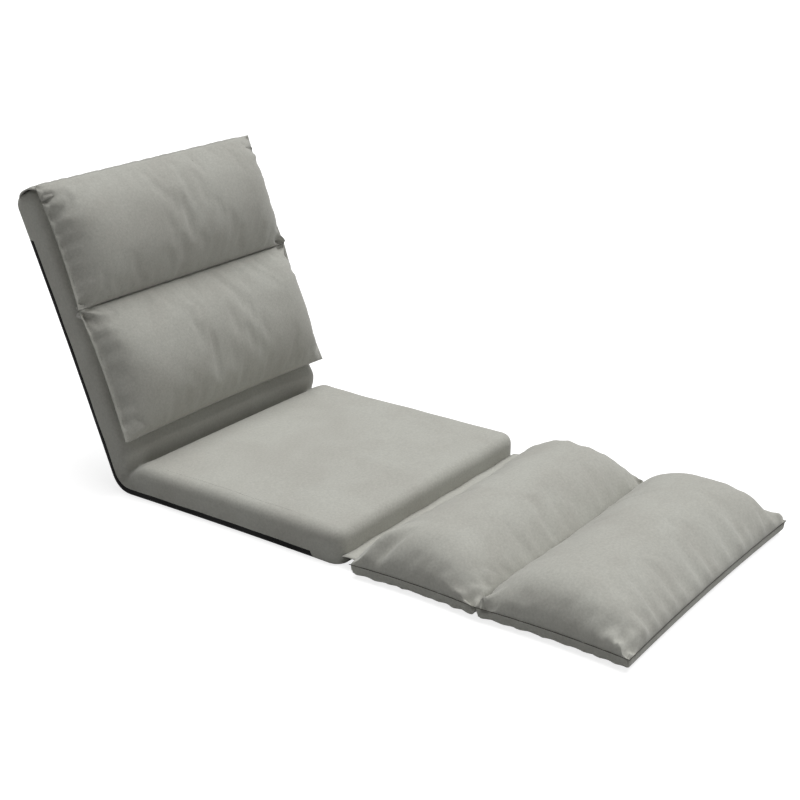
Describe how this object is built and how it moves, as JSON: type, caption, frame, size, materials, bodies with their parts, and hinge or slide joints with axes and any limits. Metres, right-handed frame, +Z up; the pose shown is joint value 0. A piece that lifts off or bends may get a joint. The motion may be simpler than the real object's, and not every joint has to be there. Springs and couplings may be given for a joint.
{
  "type": "folding floor chair",
  "caption": "Folding floor chair: a padded seat and ratchet-reclining backrest, a pillow hung over the backrest, and a fold-out leg pad, in light grey cloth.",
  "frame": {"origin": "on the floor under the middle of the seat", "axes": "+X to the sitter's left, -Y forwards over the leg pad, +Y to the backrest, +Z up"},
  "size_m": [0.586, 1.3102, 0.5676],
  "materials": {
    "cover_cloth": "matte",
    "base_cloth": "matte",
    "seat_foam": "matte",
    "under_foam": "matte",
    "fibre_fill": "matte",
    "frame_steel": "satin",
    "hinge_plate": "satin",
    "ratchet_steel": "satin",
    "spring_steel": "gloss",
    "rivet_steel": "gloss"
  },
  "bodies": {
    "seat": {"seat_cover": "cover_cloth", "seat_base_cloth": "base_cloth", "seat_foam": "seat_foam", "seat_under_foam": "under_foam", "seat_frame": "frame_steel", "hinge_seat_arm_left": "hinge_plate", "hinge_seat_arm_right": "hinge_plate", "seat_arm_pins": "rivet_steel"},
    "backrest": {"back_cover": "cover_cloth", "back_base_cloth": "base_cloth", "back_foam": "seat_foam", "back_under_foam": "under_foam", "back_frame": "frame_steel", "pillow_wrap": "cover_cloth", "hinge_cheek_inner_left": "hinge_plate", "hinge_cheek_inner_right": "hinge_plate", "hinge_cheek_outer_left": "hinge_plate", "hinge_cheek_outer_right": "hinge_plate", "hinge_pivots": "rivet_steel", "hinge_pawl_pins": "rivet_steel", "back_arm_pins": "rivet_steel"},
    "pawls": {"hinge_pawl_left": "ratchet_steel", "hinge_pawl_right": "ratchet_steel", "hinge_pawl_spring_left": "spring_steel", "hinge_pawl_spring_right": "spring_steel"},
    "cams": {"hinge_release_cam_left": "ratchet_steel", "hinge_release_cam_right": "ratchet_steel"},
    "pillow": {"pillow_cover": "cover_cloth", "pillow_fill_lower": "fibre_fill", "pillow_fill_upper": "fibre_fill"},
    "leg_rear": {"leg_rear_cover": "cover_cloth", "leg_rear_fill": "fibre_fill", "leg_flap": "cover_cloth"},
    "leg_front": {"leg_front_cover": "cover_cloth", "leg_front_fill": "fibre_fill"}
  },
  "joints": [
    {"name": "back_recline", "type": "hinge", "parent": "seat", "child": "backrest", "pos_m": [0, 0.2605, 0.02], "axis": [1, 0, 0], "range_deg": [-67.5, 22.5]},
    {"name": "release_cam_turn", "type": "hinge", "parent": "backrest", "child": "cams", "pos_m": [0, 0.2605, 0.02], "axis": [1, 0, 0], "range_deg": [0, 25]},
    {"name": "pawl_lift", "type": "hinge", "parent": "backrest", "child": "pawls", "pos_m": [0, 0.25353, 0.04237], "axis": [1, 0, 0], "range_deg": [0, 8]},
    {"name": "pillow_flip", "type": "hinge", "parent": "backrest", "child": "pillow", "pos_m": [0, 0.4362, 0.5696], "axis": [-1, 0, 0], "range_deg": [0, 180]},
    {"name": "leg_rest_fold", "type": "hinge", "parent": "seat", "child": "leg_rear", "pos_m": [0, -0.2614, 0.023], "axis": [-1, 0, 0], "range_deg": [0, 80]},
    {"name": "leg_crease_fold", "type": "hinge", "parent": "leg_rear", "child": "leg_front", "pos_m": [0, -0.5414, 0.023], "axis": [-1, 0, 0], "range_deg": [0, 60]}
  ],
  "couplings": [
    {"joint": "pawl_lift", "follows": "release_cam_turn", "ratio": 0.32}
  ]
}
